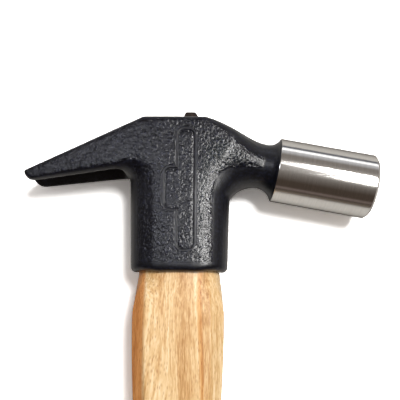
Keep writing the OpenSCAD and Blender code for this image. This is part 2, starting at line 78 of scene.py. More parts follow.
# Adds a node to a shader or geometry tree, with its settings and what goes into its sockets
def addNode(tree, kind, settings=None, inputs=None):
    node = tree.nodes.new(kind)
    for name, value in (settings or {}).items():
        setattr(node, name, value)
    for key, value in (inputs or {}).items():
        if isinstance(value, bpy.types.NodeSocket):
            tree.links.new(value, node.inputs[key])
        else:
            node.inputs[key].default_value = value
    return node


def setRamp(node, stops):
    ramp = node.color_ramp
    while len(ramp.elements) > 1:
        ramp.elements.remove(ramp.elements[-1])
    ramp.elements[0].position = stops[0][0]
    ramp.elements[0].color = hexToLinear(stops[0][1])
    for place, code in stops[1:]:
        ramp.elements.new(place).color = hexToLinear(code)
    return node


# Scales at which a texture repeats over sizes in mm
def perMm(*sizes):
    return tuple(1 / (size * mm) for size in sizes)


def newMaterial(name):
    material = bpy.data.materials.new(name)
    material.use_nodes = True
    tree = material.node_tree
    tree.nodes.clear()
    return material, tree


# Ends a material's tree: what feeds the shader, and what is the same all over the surface
def endMaterial(tree, inputs):
    shader = addNode(tree, "ShaderNodeBsdfPrincipled", None, inputs)
    addNode(tree, "ShaderNodeOutputMaterial", None, {"Surface": shader.outputs["BSDF"]})


# A piece of the hammer, which has one body, in place of a CAD node
def newPiece(name, mesh, material, node):
    piece = bpy.data.objects.new(name, mesh)
    scene.collection.objects.link(piece)
    mesh.materials.clear()
    mesh.materials.append(material)
    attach(piece, "root")
    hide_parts(node)
    return piece


def workObject(name, mesh):
    obj = bpy.data.objects.new(name, mesh)
    scene.collection.objects.link(obj)
    return obj


# What the modifiers make of an object, as a mesh of its own
def bakedMesh(obj, name):
    evaluated = obj.evaluated_get(bpy.context.evaluated_depsgraph_get())
    mesh = bpy.data.meshes.new_from_object(evaluated)
    mesh.name = name
    return mesh


def addBevel(obj, width, sharperThan):
    bevel = obj.modifiers.new("bevel", "BEVEL")
    bevel.width = width
    bevel.segments = 2
    bevel.limit_method = "ANGLE"
    bevel.angle_limit = math.radians(sharperThan)


def shadeSmooth(mesh, sharpFrom):
    mesh.shade_smooth()
    mesh.set_sharp_from_angle(angle=math.radians(sharpFrom))


# A CAD node's shape as a bmesh with its loose triangles joined
def nodeShape(name):
    shape = bmesh.new()
    shape.from_mesh(frame["nodes"][name].data)
    bmesh.ops.remove_doubles(shape, verts=shape.verts, dist=joinNear)
    return shape


def meshOf(shape, name):
    mesh = bpy.data.meshes.new(name)
    shape.to_mesh(mesh)
    shape.free()
    return mesh


def smoothStep(values, low, high):
    t = np.clip((values - low) / (high - low), 0, 1)
    return t * t * (3 - 2 * t)


def readPoints(mesh):
    flat = np.empty(len(mesh.vertices) * 3, np.float64)
    mesh.vertices.foreach_get("co", flat)
    return flat.reshape(-1, 3)


def readNormals(mesh):
    flat = np.empty(len(mesh.vertices) * 3, np.float32)
    mesh.vertices.foreach_get("normal", flat)
    return flat.reshape(-1, 3).astype(np.float64)


def writePoints(mesh, points):
    mesh.vertices.foreach_set("co", points.astype(np.float32).ravel())
    mesh.update()


# Evens out facets without shrinking the form: each pass draws points in, then pushes them back
def fairMesh(mesh, passes, inward=0.55, outward=-0.57):
    points = readPoints(mesh)
    edges = np.empty(len(mesh.edges) * 2, np.int64)
    mesh.edges.foreach_get("vertices", edges)
    a, b = edges.reshape(-1, 2).T
    count = len(points)
    degree = np.bincount(a, minlength=count) + np.bincount(b, minlength=count)
    for step in range(2 * passes):
        weight = inward if step % 2 == 0 else outward
        for axis in range(3):
            line = points[:, axis]
            total = np.bincount(a, line[b], count) + np.bincount(b, line[a], count)
            points[:, axis] = line + weight * (total / np.maximum(degree, 1) - line)
    writePoints(mesh, points)


# Places that the pieces share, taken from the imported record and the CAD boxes
mounts = {m["name"]: m for m in frame["record"]["mounts"]}
pollAxis = Vector(mounts["striking_face"]["axis"]).normalized()
faceCentre = Vector(mounts["striking_face"]["pos_m"])
pollLength = 35.6  # in mm, from the lacquer's edge to the striking face
pollBack = faceCentre - pollLength * mm * pollAxis
headLow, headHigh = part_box("head")
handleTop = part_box("handle")[1].y
rimY = headLow.y


# Black lacquer, brushed on over a forged skin: the eye sees a dark, half-glossy coat whose
# wrinkles, just under 1 mm apart, break each highlight into glints, and duller bands without
# them where the flash was ground off
def lacquerMaterial():
    look = {
        "wrinklePitch": 0.85, "finePitch": 0.4, "relief": 0.22,  # in mm
        "fineShare": 0.2,  # how much the finer wrinkles add to the others
        "brushPitch": 0.5, "brushRelief": 0.012,  # marks of the brush all over, in mm
        "colours": [(0.35, "#040407"), (0.52, "#090a12"), (0.68, "#171925")],
        "plainRoughness": 0.34, "skinRoughness": 0.19,
        "ior": 1.45,  # alkyd lacquer
    }
    material, tree = newMaterial("blackLacquerOnForgedSkin")
    place = addNode(tree, "ShaderNodeTexCoord").outputs["Object"]
    skin = addNode(tree, "ShaderNodeAttribute", {"attribute_name": "skin"}).outputs["Fac"]
    wrinkles = addNode(tree, "ShaderNodeTexNoise", None, {
        "Vector": place, "Scale": 1 / (look["wrinklePitch"] * mm), "Detail": 2.0,
        "Roughness": 0.5, "Distortion": 0.5})
    fine = addNode(tree, "ShaderNodeTexNoise", None, {
        "Vector": place, "Scale": 1 / (look["finePitch"] * mm), "Detail": 2.0})
    both = addNode(tree, "ShaderNodeMath", {"operation": "MULTIPLY_ADD"}, {
        0: fine.outputs["Fac"], 1: look["fineShare"], 2: wrinkles.outputs["Fac"]})
    relief = addNode(tree, "ShaderNodeMath", {"operation": "MULTIPLY"}, {0: both.outputs[0], 1: skin})
    wrinkled = addNode(tree, "ShaderNodeBump", None, {
        "Height": relief.outputs[0], "Strength": 1.0, "Distance": look["relief"] * mm})
    marks = addNode(tree, "ShaderNodeTexNoise", None, {
        "Vector": place, "Scale": 1 / (look["brushPitch"] * mm), "Detail": 2.0})
    brushed = addNode(tree, "ShaderNodeBump", None, {
        "Height": marks.outputs["Fac"], "Strength": 1.0, "Distance": look["brushRelief"] * mm,
        "Normal": wrinkled.outputs["Normal"]})
    # Painted shade: the coat's tone follows the same noise as the wrinkles, darker in their hollows and
    # lighter on their tops; on the plain bands, which have no wrinkles, it is a random mottle
    tint = addNode(tree, "ShaderNodeValToRGB", None, {"Fac": wrinkles.outputs["Fac"]})
    setRamp(tint, look["colours"])
    rough = addNode(tree, "ShaderNodeMapRange", None, {
        "Value": skin, "To Min": look["plainRoughness"], "To Max": look["skinRoughness"]})
    endMaterial(tree, {
        "Base Color": tint.outputs["Color"], "Roughness": rough.outputs["Result"],
        "Normal": brushed.outputs["Normal"], "IOR": look["ior"]})
    return material


# Ground tool steel: the eye sees a bright metal whose fine rings round the poll draw each
# reflection out along it. The rings are drawn coarser than the marks of real grit, so that they show
def groundSteelMaterial():
    look = {
        "ringPitch": 0.22, "ringRun": 9.0, "relief": 0.01,  # in mm
        "colours": [(0.3, "#e0deda"), (0.7, "#f4f2ef")], "edgeTint": "#8c8a88",
        "hollowRoughness": 0.15, "ridgeRoughness": 0.1,
    }
    material, tree = newMaterial("groundToolSteel")
    place = addNode(tree, "ShaderNodeTexCoord").outputs["Object"]
    turn = math.atan2(pollAxis.y, pollAxis.x)
    along = addNode(tree, "ShaderNodeMapping", {"vector_type": "TEXTURE"}, {
        "Vector": place, "Location": faceCentre, "Rotation": (0, 0, turn)})
    stretch = addNode(tree, "ShaderNodeVectorMath", {"operation": "MULTIPLY"}, {
        0: along.outputs[0], 1: perMm(look["ringPitch"], look["ringRun"], look["ringRun"])})
    rings = addNode(tree, "ShaderNodeTexNoise", None, {
        "Vector": stretch.outputs[0], "Scale": 1.0, "Detail": 4.0, "Roughness": 0.65})
    bump = addNode(tree, "ShaderNodeBump", None, {
        "Height": rings.outputs["Fac"], "Strength": 0.25, "Distance": look["relief"] * mm})
    tint = addNode(tree, "ShaderNodeValToRGB", None, {"Fac": rings.outputs["Fac"]})
    setRamp(tint, look["colours"])
    rough = addNode(tree, "ShaderNodeMapRange", None, {
        "Value": rings.outputs["Fac"], "From Min": noiseLow, "From Max": noiseHigh,
        "To Min": look["hollowRoughness"], "To Max": look["ridgeRoughness"]})
    endMaterial(tree, {
        "Base Color": tint.outputs["Color"], "Roughness": rough.outputs["Result"],
        "Normal": bump.outputs["Normal"], "Metallic": 1.0,
        "Specular Tint": hexToLinear(look["edgeTint"])})
    return material


# Oiled wood, planed along its grain: the eye sees growth layers a few mm apart that run up the handle,
# and short open pores along them. Sizes are in mm, across the cheek, up the handle and through it.
# The fibres are drawn coarser than real ones, so that they show
grain = {
    "sway": (14, 90, 14), "swayBy": 9,  # how slowly the layers wander, and how far
    "growth": (3.2, 160, 9), "fibre": (0.5, 6, 0.5),
    "fibreShare": 0.8,  # how much the fibres add to the growth layers
    "fibreRelief": 0.05,
    "pore": (0.5, 2.4, 0.5), "poreCore": 0.12, "poreEdge": 0.36, "poreColour": "#9c6432",
    "clawSideShadeFrom": -11.0, "clawSideShadeTo": -12.0, "clawSideShadeColour": "#f2c493",  # painted shade: darker, warmer wood on the claw's side, which faces away from the lights
    "streakFrom": 8, "streakTo": 18,  # the stretch across the cheek that the streak's shares are of
    "streak": [(0.3, "#ffffff"), (0.38, "#f4dcb8"), (0.44, "#f0d2a8"), (0.5, "#ffffff")],
    "roughness": 0.46, "ior": 1.48,
}
woods = {
    "oiledPaleWood": {
        "colours": [(0.22, "#a67740"), (0.38, "#c79c66"), (0.52, "#dab988"), (0.7, "#e9d0a8")],
        "pores": 0.55, "clawSideShadeAndStreak": 1.0},  # how strong the pores are, then the painted shade on the claw's side and the streak
    "darkWedgeWood": {
        "colours": [(0.3, "#6e4524"), (0.5, "#94633a"), (0.7, "#b58353")],
        "pores": 0.6, "clawSideShadeAndStreak": 0.0},
}


# A Mix node for colours has its factor at socket 0 and its two colours at 6 and 7
def woodMaterial(name, wood):
    material, tree = newMaterial(name)
    place = addNode(tree, "ShaderNodeTexCoord").outputs["Object"]
    drift = addNode(tree, "ShaderNodeVectorMath", {"operation": "MULTIPLY"}, {
        0: place, 1: perMm(*grain["sway"])})
    sway = addNode(tree, "ShaderNodeTexNoise", None, {
        "Vector": drift.outputs[0], "Scale": 1.0, "Detail": 1.0})
    swayBy = grain["swayBy"] * mm
    shift = addNode(tree, "ShaderNodeVectorMath", {"operation": "MULTIPLY_ADD"}, {
        0: sway.outputs["Color"], 1: (swayBy, 0, swayBy), 2: place})
    scaled = {}
    for pattern in ("growth", "fibre", "pore"):
        scaled[pattern] = addNode(tree, "ShaderNodeVectorMath", {"operation": "MULTIPLY"}, {
            0: shift.outputs[0], 1: perMm(*grain[pattern])}).outputs[0]
    growth = addNode(tree, "ShaderNodeTexNoise", None, {
        "Vector": scaled["growth"], "Scale": 1.0, "Detail": 3.0, "Roughness": 0.6})
    fibres = addNode(tree, "ShaderNodeTexNoise", None, {
        "Vector": scaled["fibre"], "Scale": 1.0, "Detail": 3.0, "Roughness": 0.6})
    both = addNode(tree, "ShaderNodeMath", {"operation": "MULTIPLY_ADD"}, {
        0: fibres.outputs["Fac"], 1: grain["fibreShare"], 2: growth.outputs["Fac"]})
    level = addNode(tree, "ShaderNodeMath", {"operation": "SUBTRACT"}, {
        0: both.outputs[0], 1: grain["fibreShare"] / 2})  # so that fibres darken and lighten alike
    tint = addNode(tree, "ShaderNodeValToRGB", None, {"Fac": level.outputs[0]})
    setRamp(tint, wood["colours"])
    cells = addNode(tree, "ShaderNodeTexVoronoi", None, {
        "Vector": scaled["pore"], "Scale": 1.0, "Randomness": 1.0})
    inPore = addNode(tree, "ShaderNodeMapRange", None, {
        "Value": cells.outputs["Distance"], "From Min": grain["poreCore"],
        "From Max": grain["poreEdge"], "To Min": wood["pores"], "To Max": 0.0})
    colour = addNode(tree, "ShaderNodeMix", {"data_type": "RGBA"}, {
        0: inPore.outputs["Result"], 6: tint.outputs["Color"], 7: hexToLinear(grain["poreColour"])})
    across = addNode(tree, "ShaderNodeSeparateXYZ", None, {0: place})
    # Painted shade: the flats on the claw's side, which face away from the lights, are darkened to a
    # warmer tone
    towardsClawSideShade = addNode(tree, "ShaderNodeMapRange", None, {
        "Value": across.outputs["X"], "From Min": grain["clawSideShadeFrom"] * mm,
        "From Max": grain["clawSideShadeTo"] * mm, "To Max": wood["clawSideShadeAndStreak"]})
    clawSideShaded = addNode(tree, "ShaderNodeMix", {"data_type": "RGBA", "blend_type": "MULTIPLY"}, {
        0: towardsClawSideShade.outputs["Result"], 6: colour.outputs[2], 7: hexToLinear(grain["clawSideShadeColour"])})
    layerAt = addNode(tree, "ShaderNodeSeparateXYZ", None, {0: shift.outputs[0]})
    streakAt = addNode(tree, "ShaderNodeMapRange", None, {
        "Value": layerAt.outputs["X"], "From Min": grain["streakFrom"] * mm,
        "From Max": grain["streakTo"] * mm})
    streak = addNode(tree, "ShaderNodeValToRGB", None, {"Fac": streakAt.outputs["Result"]})
    setRamp(streak, grain["streak"])
    streaked = addNode(tree, "ShaderNodeMix", {"data_type": "RGBA", "blend_type": "MULTIPLY"}, {
        0: wood["clawSideShadeAndStreak"], 6: clawSideShaded.outputs[2], 7: streak.outputs["Color"]})
    bump = addNode(tree, "ShaderNodeBump", None, {
        "Height": fibres.outputs["Fac"], "Strength": 0.35, "Distance": grain["fibreRelief"] * mm})
    endMaterial(tree, {
        "Base Color": streaked.outputs[2], "Normal": bump.outputs["Normal"],
        "Roughness": grain["roughness"], "IOR": grain["ior"]})
    return material


# Mild steel with a film of brown rust: the eye sees a dark, half-dull metal, mottled in patches
def rustMaterial():
    look = {
        "patch": 1.4, "relief": 0.12,  # in mm
        "colours": [(0.3, "#120c0a"), (0.5, "#261a15"), (0.62, "#3a2f28"), (0.75, "#54483f")],
        "metallic": 0.55, "roughness": 0.55,
    }
    material, tree = newMaterial("rustedMildSteel")
    place = addNode(tree, "ShaderNodeTexCoord").outputs["Object"]
    patches = addNode(tree, "ShaderNodeTexNoise", None, {
        "Vector": place, "Scale": 1 / (look["patch"] * mm), "Detail": 5.0, "Roughness": 0.65})
    tint = addNode(tree, "ShaderNodeValToRGB", None, {"Fac": patches.outputs["Fac"]})
    setRamp(tint, look["colours"])
    bump = addNode(tree, "ShaderNodeBump", None, {
        "Height": patches.outputs["Fac"], "Strength": 0.6, "Distance": look["relief"] * mm})
    endMaterial(tree, {
        "Base Color": tint.outputs["Color"], "Normal": bump.outputs["Normal"],
        "Metallic": look["metallic"], "Roughness": look["roughness"]})
    return material


lacquer = lacquerMaterial()
groundSteel = groundSteelMaterial()
paleWood, wedgeWood = [woodMaterial(name, wood) for name, wood in woods.items()]
rust = rustMaterial()
print("materials made")


# The forging: the CAD head without its ground poll, remeshed evenly so that its facets can be faired
# away, then given the bare panel on its cheek and the skin of forging scale under the lacquer.
# Places are x from the handle's axis, and height above the socket's rim, in mm
forgingSizes = {
    "edgeGap": 0.01,  # from the poll's back edge to the end of the lacquered neck
    "underPoll": 1.2, "underScale": 0.985,  # how far the neck runs on under the poll, and how slim
    "voxel": 0.48, "fairing": 12,
    # the CAD's thickness: half of it on the cheek and on the neck, and the x where it starts and
    # ends to fall. It falls above a corner under the neck, over a rise that leans to the poll
    "cheekHalf": 13.5, "neckHalf": 8.35, "fallFrom": 12.0, "fallTo": 30.31,
    "cornerX": 18.18, "cornerUp": 26.52, "rise": 10.0, "riseLean": 0.8,
    # the fuller cheek: heights and the x where it starts to fall there, how much fuller its neck is,
    # how straight it falls, and where it comes in beside the socket and ends before the poll
    "crest": [(30, 9.5), (34, 10.9), (37, 12.8), (41, 15.8), (45, 18.2), (50, 20.0)],
    "neckFuller": 0.8, "straight": 0.6, "comesIn": (8, 11), "endsOver": (0.2, 4.0),
    # the rim's arch: how far its middle comes down, and over which x and heights that fades
    "rimDrop": 1.3, "rimAcross": (5, 14.5), "rimUp": (1.5, 7),
}
panelSizes = {
    "x": 2.3, "half": 3.0, "low": 7.7, "high": 50.0,  # its middle, half width and two ends
    "reach": 7.6, "partLow": 21.5, "partHigh": 36.2,  # the part that reaches towards the claw
    "corner": 2.4, "sunk": 0.4, "wall": 0.3,  # its corners' radius, its depth and its wall's width
    "grooveDeep": 0.12, "grooveIn": 0.15, "grooveWide": 0.22,  # the groove at the wall's foot
    "near": 1.1,  # how near the outline the faces are split
    "cheekWithin": 1.2,  # how far below the cheek's highest the panel is looked for
}


# Fills the CAD's sunk panel, whose floor lies flat, by lifting its rim to the cheek above it
def fillPanel(shape, panel):
    sameHeight = 0.01 * mm
    floor = headHigh.z - panel["sunk"] * mm

    def spot(vert):
        return round(vert.co.x / mm, 2), round(vert.co.y / mm, 2)

    for side in (1, -1):
        above = {spot(v): v.co.z for v in shape.verts if side * v.co.z > floor + sameHeight}
        for vert in shape.verts:
            if abs(side * vert.co.z - floor) < sameHeight:
                vert.co.z = above.get(spot(vert), vert.co.z)
    bmesh.ops.remove_doubles(shape, verts=shape.verts, dist=sameHeight / 2)
    bmesh.ops.dissolve_degenerate(shape, edges=shape.edges, dist=joinNear)


# How far a point on the cheek is outside the panel's outline, in mm, below 0 inside it
def panelDistance(points, panel):
    x = points[:, 0] / mm - panel["x"]
    y = (points[:, 1] - rimY) / mm

    def fromRounded(left, right, low, high):
        acrossX = np.abs(x - (left + right) / 2) - (right - left) / 2 + panel["corner"]
        acrossY = np.abs(y - (low + high) / 2) - (high - low) / 2 + panel["corner"]
        outside = np.hypot(np.maximum(acrossX, 0), np.maximum(acrossY, 0))
        return outside + np.minimum(np.maximum(acrossX, acrossY), 0) - panel["corner"]

    main = fromRounded(-panel["half"], panel["half"], panel["low"], panel["high"])
    wider = fromRounded(-panel["reach"], 0, panel["partLow"], panel["partHigh"])
    return np.minimum(main, wider)


# Cuts the head at the poll's back edge, and runs the neck on a little under the poll
def cutForging(sizes):
    shape = nodeShape("head")
    fillPanel(shape, panelSizes)
    cut = faceCentre - (pollLength * mm + sizes["edgeGap"] * mm) * pollAxis
    bmesh.ops.bisect_plane(
        shape, geom=shape.verts[:] + shape.edges[:] + shape.faces[:],
        plane_co=cut, plane_no=pollAxis, clear_outer=True)
    openEdges = [e for e in shape.edges if e.is_boundary]
    run = bmesh.ops.extrude_edge_only(shape, edges=openEdges)["geom"]
    for vert in [v for v in run if isinstance(v, bmesh.types.BMVert)]:
        vert.co = cut + (vert.co - cut) * sizes["underScale"] + sizes["underPoll"] * mm * pollAxis
    bmesh.ops.holes_fill(shape, edges=[e for e in shape.edges if e.is_boundary], sides=0)
    return meshOf(shape, "forgingCut")


def remeshed(mesh, voxel):
    obj = workObject("forgingWork", mesh)
    remesh = obj.modifiers.new("even", "REMESH")
    remesh.mode = "VOXEL"
    remesh.voxel_size = voxel
    result = bakedMesh(obj, "forging")
    bpy.data.objects.remove(obj)
    return result


# Keeps the cheek full further towards the neck than the CAD does, so that it turns over on a line
# that leans towards the poll. Only the thickness changes, and never past the cheek's own
def fillShoulder(mesh, sizes):
    points = readPoints(mesh)
    x = points[:, 0] / mm
    y = (points[:, 1] - rimY) / mm
    cheek = sizes["cheekHalf"]
    drop = cheek - sizes["neckHalf"]
    leaning = y + sizes["riseLean"] * np.maximum(0, x - sizes["cornerX"])
    rise = smoothStep(leaning, sizes["cornerUp"], sizes["cornerUp"] + sizes["rise"])
    cadHalf = cheek - drop * smoothStep(x, sizes["fallFrom"], sizes["fallTo"]) * rise
    start = np.interp(y, *zip(*sizes["crest"]))
    share = np.clip((x - start) / (sizes["fallTo"] - start), 0, 1)
    straight = sizes["straight"]
    eased = straight * share + (1 - straight) * share * share * (3 - 2 * share)
    fullerHalf = cheek - (drop - sizes["neckFuller"]) * eased * rise
    beforePoll = (points - np.array(pollBack)) @ -np.array(pollAxis) / mm
    blend = smoothStep(x, *sizes["comesIn"]) * smoothStep(beforePoll, *sizes["endsOver"])
    points[:, 2] *= 1 + blend * (fullerHalf / cadHalf - 1)
    writePoints(mesh, points)


# Brings the middle of the rim's arch down over the wood, fading out above it, and holds the whole
# forging within the CAD's thickness
def flattenRim(mesh, sizes):
    points = readPoints(mesh)
    fromMiddle = np.abs(points[:, 0]) / mm
    y = (points[:, 1] - rimY) / mm
    share = (1 - smoothStep(fromMiddle, *sizes["rimAcross"])) * (1 - smoothStep(y, *sizes["rimUp"]))
    points[:, 1] -= sizes["rimDrop"] * mm * share
    points[:, 2] = np.clip(points[:, 2], -headHigh.z, headHigh.z)
    writePoints(mesh, points)


# Splits the faces along the panel's outline, then sinks the panel with a crisp wall and a
# fine groove at its foot, as a die leaves it
def sinkPanel(mesh, panel):
    def outlineReach(points):
        onCheek = np.abs(points[:, 2]) > headHigh.z - panel["cheekWithin"] * mm
        return np.where(onCheek, panelDistance(points, panel), farOff)

    shape = bmesh.new()
    shape.from_mesh(mesh)
    near = np.abs(outlineReach(readPoints(mesh))) < panel["near"]
    shape.verts.ensure_lookup_table()
    edges = [e for e in shape.edges if near[e.verts[0].index] and near[e.verts[1].index]]
    bmesh.ops.subdivide_edges(shape, edges=edges, cuts=2, use_grid_fill=True)
    shape.to_mesh(mesh)
    shape.free()
    points = readPoints(mesh)
    reach = outlineReach(points)
    sunk = panel["sunk"] * (1 - smoothStep(reach, -panel["wall"], 0))
    fromGroove = reach + panel["wall"] + panel["grooveIn"]
    sunk += panel["grooveDeep"] * np.exp(-(fromGroove / panel["grooveWide"]) ** 2)
    points[:, 2] -= np.sign(points[:, 2]) * sunk * mm
    writePoints(mesh, points)
    return reach


skinSizes = {
    "pitch": 1.3,
    "depth": 0.16, "below": 0.04,  # how far the hollows and the tops lie under the plain surface
    "seed": 3.0,
    # how squarely the skin faces the cheek's side where the dressed edge takes over: less square on
    # what turns to the claw, and towards the poll
    "facing": 0.88, "clawLess": 0.12, "clawTurn": (0.2, 0.4), "pollLess": 0.5, "pollFrom": (8, 14),
    "facingFade": 0.04,
    # the line that ends it towards the poll: up from the rim, past the neck, to the flat on top
    "end": [(11.6, -9.0), (11.4, 25.0), (12.4, 31.5), (14.2, 34.6), (16.8, 36.5), (20.9, 36.9),
            (29.6, 37.2), (29.8, 41.3), (21.2, 45.0), (11.0, 53.6), (4.0, 60.0)],
    "endFade": 0.5,
    "rimFade": (2.6, 4.4),
    "lipIn": -0.15, "lipOut": 0.75,  # the plain lip along the panel's outline
}


# Distance of points in the plane of the cheek from a line of places, below 0 on its left side
def besideLine(x, y, line):
    best = np.full(len(x), farOff)
    for (x0, y0), (x1, y1) in zip(line, line[1:]):
        dx, dy = x1 - x0, y1 - y0
        t = np.clip(((x - x0) * dx + (y - y0) * dy) / (dx * dx + dy * dy), 0, 1)
        away = np.hypot(x - x0 - t * dx, y - y0 - t * dy)
        side = np.sign((x - x0) * dy - (y - y0) * dx)
        best = np.where(away < np.abs(best), side * away, best)
    return best


# How rough the skin is at each point: full on the cheeks, none where the flash was dressed off
# round the edges, down the socket's side towards the poll, and over the neck
def markSkin(mesh, panelReach, sizes):
    points = readPoints(mesh)
    normals = readNormals(mesh)
    x = points[:, 0] / mm
    y = (points[:, 1] - rimY) / mm
    clawLess = sizes["clawLess"] * smoothStep(-normals[:, 0], *sizes["clawTurn"])
    pollLess = sizes["pollLess"] * smoothStep(x, *sizes["pollFrom"])
    edge = sizes["facing"] - clawLess - pollLess
    fade = sizes["facingFade"]
    facing = smoothStep(np.abs(normals[:, 2]), edge - fade, edge + fade)
    inside = smoothStep(-besideLine(x, y, sizes["end"]), -sizes["endFade"], sizes["endFade"])
    aboveRim = smoothStep(y, *sizes["rimFade"])
    offLip = 1 - (panelReach > sizes["lipIn"]) * (panelReach < sizes["lipOut"]) * 1.0
    skin = mesh.attributes.new("skin", "FLOAT", "POINT")
    skin.data.foreach_set("value", (facing * inside * aboveRim * offLip).astype(np.float32))


# Skin of the forging's scale: pushes each point in along its normal by a seeded noise
def skinTree():
    tree = bpy.data.node_groups.new("forgedSkin", "GeometryNodeTree")
    tree.interface.new_socket(name="Geometry", in_out="INPUT", socket_type="NodeSocketGeometry")
    for name in ("Pitch", "Depth", "Below", "Seed"):
        tree.interface.new_socket(name=name, in_out="INPUT", socket_type="NodeSocketFloat")
    tree.interface.new_socket(name="Geometry", in_out="OUTPUT", socket_type="NodeSocketGeometry")
    given = addNode(tree, "NodeGroupInput")
    place = addNode(tree, "GeometryNodeInputPosition")
    perPitch = addNode(tree, "ShaderNodeMath", {"operation": "DIVIDE"}, {
        0: 1.0, 1: given.outputs["Pitch"]})
    lumps = addNode(tree, "ShaderNodeTexNoise", {"noise_dimensions": "4D"}, {
        "Vector": place.outputs[0], "W": given.outputs["Seed"], "Scale": perPitch.outputs[0],
        "Detail": 2.0, "Roughness": 0.6})
    sink = addNode(tree, "ShaderNodeMapRange", None, {
        "Value": lumps.outputs["Fac"], "From Min": noiseLow, "From Max": noiseHigh,
        "To Min": given.outputs["Depth"], "To Max": given.outputs["Below"]})
    skin = addNode(tree, "GeometryNodeInputNamedAttribute", {"data_type": "FLOAT"}, {"Name": "skin"})
    masked = addNode(tree, "ShaderNodeMath", {"operation": "MULTIPLY"}, {
        0: sink.outputs[0], 1: skin.outputs["Attribute"]})
    inward = addNode(tree, "ShaderNodeMath", {"operation": "MULTIPLY"}, {
        0: masked.outputs[0], 1: -1.0})
    normal = addNode(tree, "GeometryNodeInputNormal")
    push = addNode(tree, "ShaderNodeVectorMath", {"operation": "SCALE"}, {
        0: normal.outputs[0], "Scale": inward.outputs[0]})
    moved = addNode(tree, "GeometryNodeSetPosition", None, {
        "Geometry": given.outputs["Geometry"], "Offset": push.outputs[0]})
    soft = addNode(tree, "GeometryNodeSetShadeSmooth", None, {"Geometry": moved.outputs[0]})
    whole = addNode(tree, "GeometryNodeRealizeInstances", None, {"Geometry": soft.outputs[0]})
    painted = addNode(tree, "GeometryNodeSetMaterial", None, {
        "Geometry": whole.outputs[0], "Material": lacquer})
    addNode(tree, "NodeGroupOutput", None, {"Geometry": painted.outputs[0]})
    return tree


# Gives a modifier's inputs by the names of their sockets
def setInputs(modifier, values):
    for item in modifier.node_group.interface.items_tree:
        if item.item_type == "SOCKET" and item.in_out == "INPUT" and item.name in values:
            modifier[item.identifier] = values[item.name]


def nodesMesh(name, mesh, tree, values):
    obj = workObject(name + "Work", mesh)
    modifier = obj.modifiers.new("nodes", "NODES")
    modifier.node_group = tree
    setInputs(modifier, values)
    result = bakedMesh(obj, name)
    bpy.data.objects.remove(obj)
    return result


def makeForging(sizes, panel, skin):
    mesh = remeshed(cutForging(sizes), sizes["voxel"] * mm)
    fairMesh(mesh, sizes["fairing"])
    fillShoulder(mesh, sizes)
    flattenRim(mesh, sizes)
    reach = sinkPanel(mesh, panel)
    markSkin(mesh, reach, skin)
    mesh = nodesMesh("forging", mesh, skinTree(), {
        "Pitch": skin["pitch"] * mm, "Depth": skin["depth"] * mm,
        "Below": skin["below"] * mm, "Seed": skin["seed"]})
    return newPiece("forging", mesh, lacquer, "head")


forging = makeForging(forgingSizes, panelSizes, skinSizes)
print("forging made", len(forging.data.polygons), "faces")


# The ground poll: a profile turned about the striking face's axis. Its length is pollLength
pollSizes = {
    "diameter": 23.8, "chamfer": 0.9, "edgeBreak": 0.12, "segments": 144,
    "closedAt": 6.0,  # radius of the flat that closes its hidden back
    "barrelRows": 24, "closeRow": 0.1,  # a close row beside each edge keeps its shading off the barrel
    "chamferRoll": (0.15, 0.198),  # the chamfer's first point: on from its corner, and in from it
    # how the chamfer rolls into the face: back from the face, and out from the chamfer's end
    "faceRoll": [(0.2, 0.17), (0.06, 0.03), (0.0, -0.12)],
    "dish": 0.12, "dishRadii": [9.0, 6.0, 3.0, 1.0],  # how far in the face's middle lies, and its rows
    "sharpFrom": 28,
}


# The profile's points, as place along the axis from the back edge, and radius
def pollProfile(sizes):
    radius, chamfer, small = sizes["diameter"] / 2, sizes["chamfer"], sizes["edgeBreak"]
    turned = 0.3 * small  # how far an edge's middle point lies inside its corner
    back = [(0, sizes["closedAt"]), (0, radius - small), (turned, radius - turned), (small, radius)]
    first, last = small + sizes["closeRow"], pollLength - chamfer - small
    step = (last - sizes["closeRow"] - first) / sizes["barrelRows"]
    barrel = [(first + step * i, radius) for i in range(sizes["barrelRows"] + 1)] + [(last, radius)]
    on, inwards = sizes["chamferRoll"]
    corner = pollLength - chamfer
    front = [(corner, radius - turned), (corner + on, radius - inwards)]
    roll = [(pollLength - away, radius - chamfer + out) for away, out in sizes["faceRoll"]]
    edge = sizes["dishRadii"][0]
    face = [(pollLength - sizes["dish"] * (1 - (r / edge) ** 2), r) for r in sizes["dishRadii"]]
    return back + barrel + front + roll + face


def makePoll(sizes):
    upwards = Vector((0, 0, 1))
    sideways = upwards.cross(pollAxis).normalized()
    count = sizes["segments"]
    angles = [2 * math.pi * i / count for i in range(count)]
    spokes = [math.cos(a) * sideways + math.sin(a) * upwards for a in angles]
    shape = bmesh.new()
    rows = [[shape.verts.new(pollBack + along * mm * pollAxis + radius * mm * spoke) for spoke in spokes]
            for along, radius in pollProfile(sizes)]
    for low, high in zip(rows, rows[1:]):
        for i in range(count):
            j = (i + 1) % count
            shape.faces.new((low[i], low[j], high[j], high[i]))
    shape.faces.new(rows[0])
    shape.faces.new(rows[-1])
    bmesh.ops.recalc_face_normals(shape, faces=shape.faces)
    mesh = meshOf(shape, "poll")
    shadeSmooth(mesh, sizes["sharpFrom"])
    return newPiece("poll", mesh, groundSteel, "head")


poll = makePoll(pollSizes)
print("poll made", len(poll.data.polygons), "faces")


